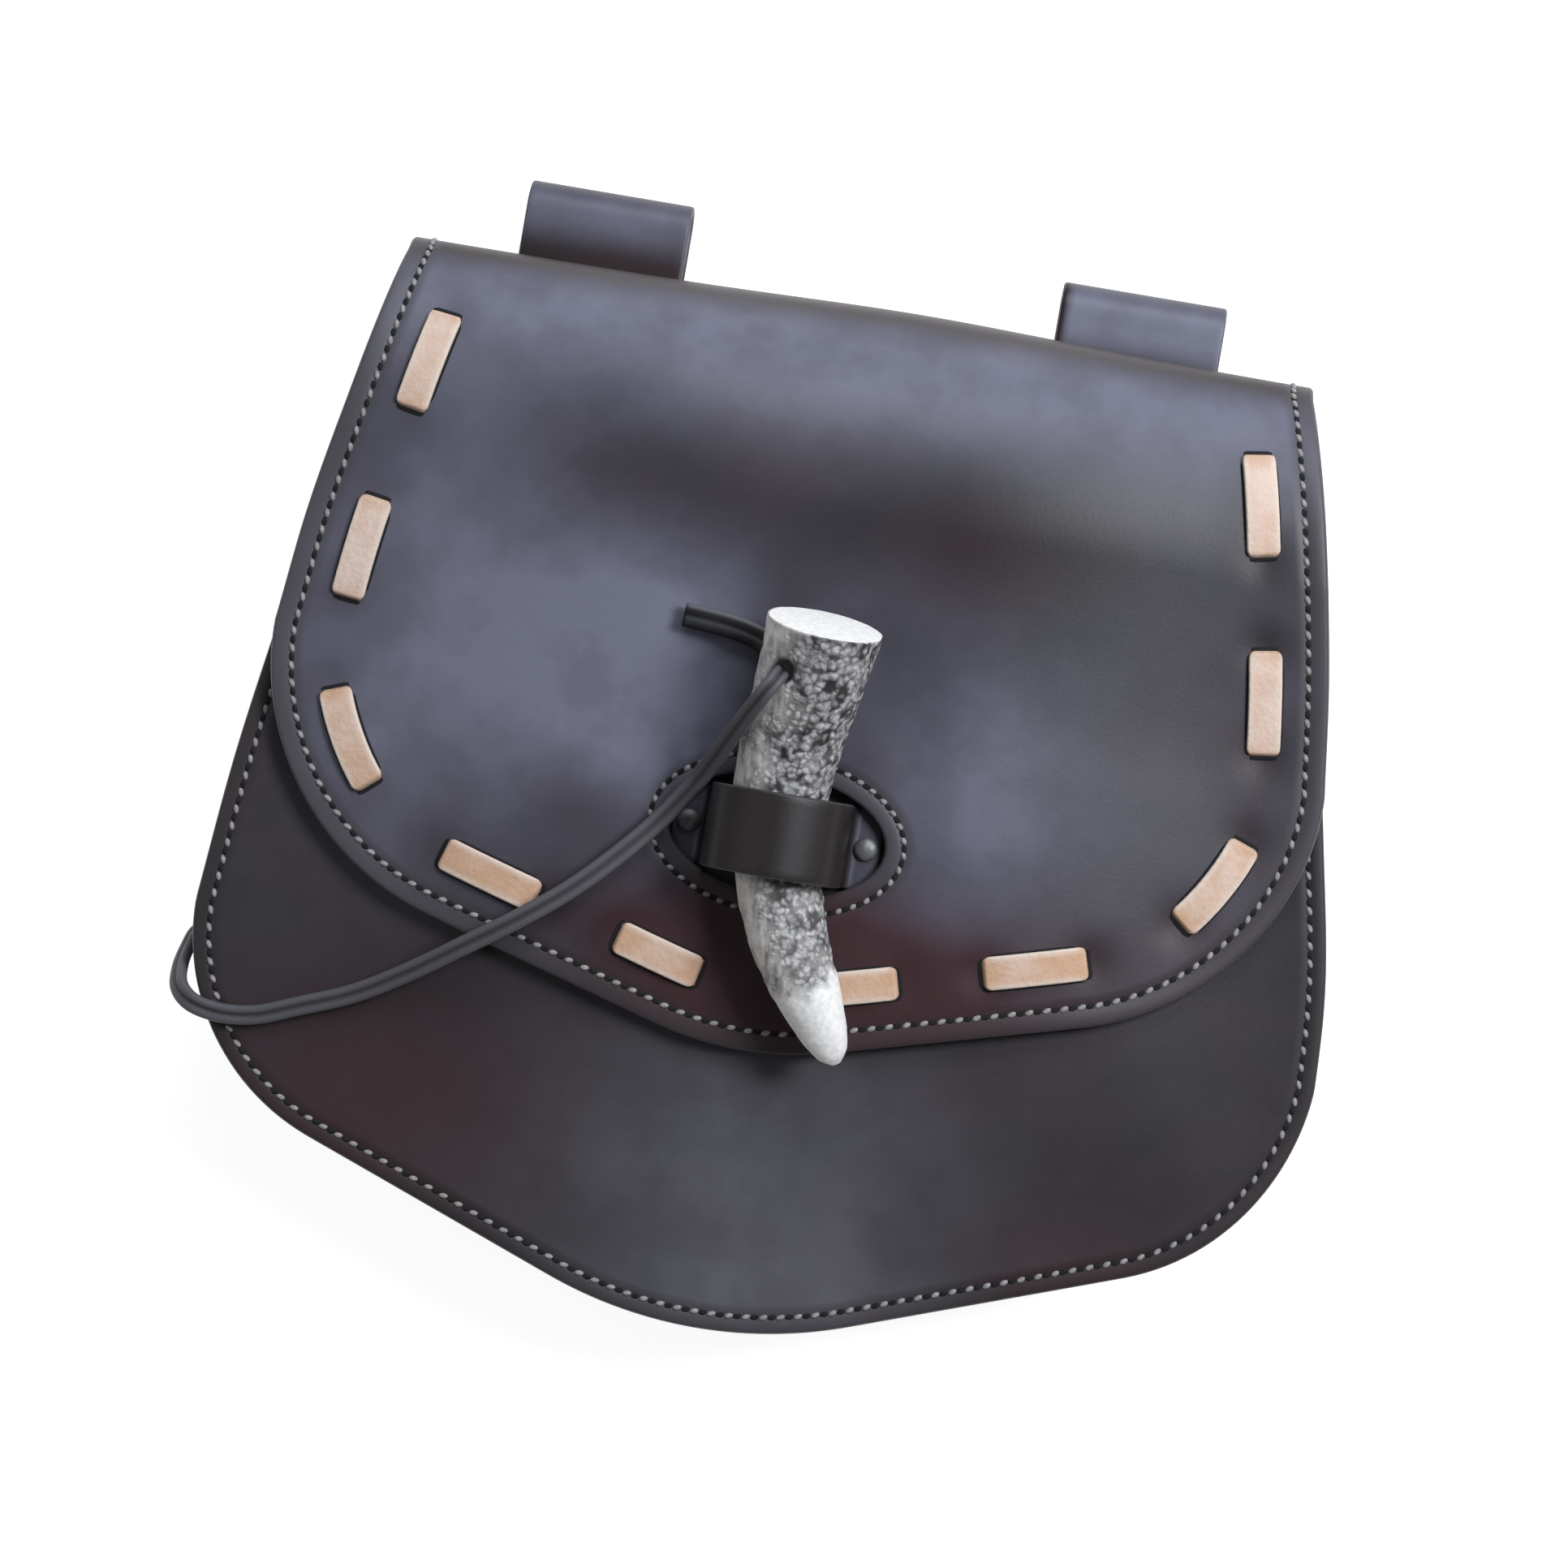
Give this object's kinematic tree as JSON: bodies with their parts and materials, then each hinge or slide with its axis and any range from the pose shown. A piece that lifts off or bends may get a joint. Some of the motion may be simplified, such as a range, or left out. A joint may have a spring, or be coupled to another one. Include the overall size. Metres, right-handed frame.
{
  "type": "leather belt pouch",
  "caption": "Dark leather belt pouch with a rounded flap edged in pale lacing, closed by an antler toggle on a thong under a riveted keeper strap.",
  "frame": {"origin": "middle of the pouch's outline, on the surface that its back lies on", "axes": "+X to the right as the flap is seen, +Y towards the belt loops, +Z out of the front"},
  "size_m": [0.244, 0.2378, 0.0873],
  "materials": {
    "dark_leather": "smooth dark brown-black leather with a soft bluish sheen",
    "strap_leather": "smooth very dark brown leather",
    "thong_leather": "dull dark grey lace",
    "lace_leather": "matte pale tan lace",
    "antler": "grey and black pitted antler with a white sawn end and a white tip",
    "rivet_metal": "dull grey metal"
  },
  "bodies": {
    "root": {"back_and_flap": "dark_leather", "front_panel": "dark_leather", "gusset": "dark_leather", "belt_loop_left": "dark_leather", "belt_loop_right": "dark_leather", "keeper_strap": "strap_leather", "thong": "thong_leather", "flap_lace": "lace_leather", "antler_toggle": "antler", "rivet_left": "rivet_metal", "rivet_right": "rivet_metal"}
  },
  "joints": []
}
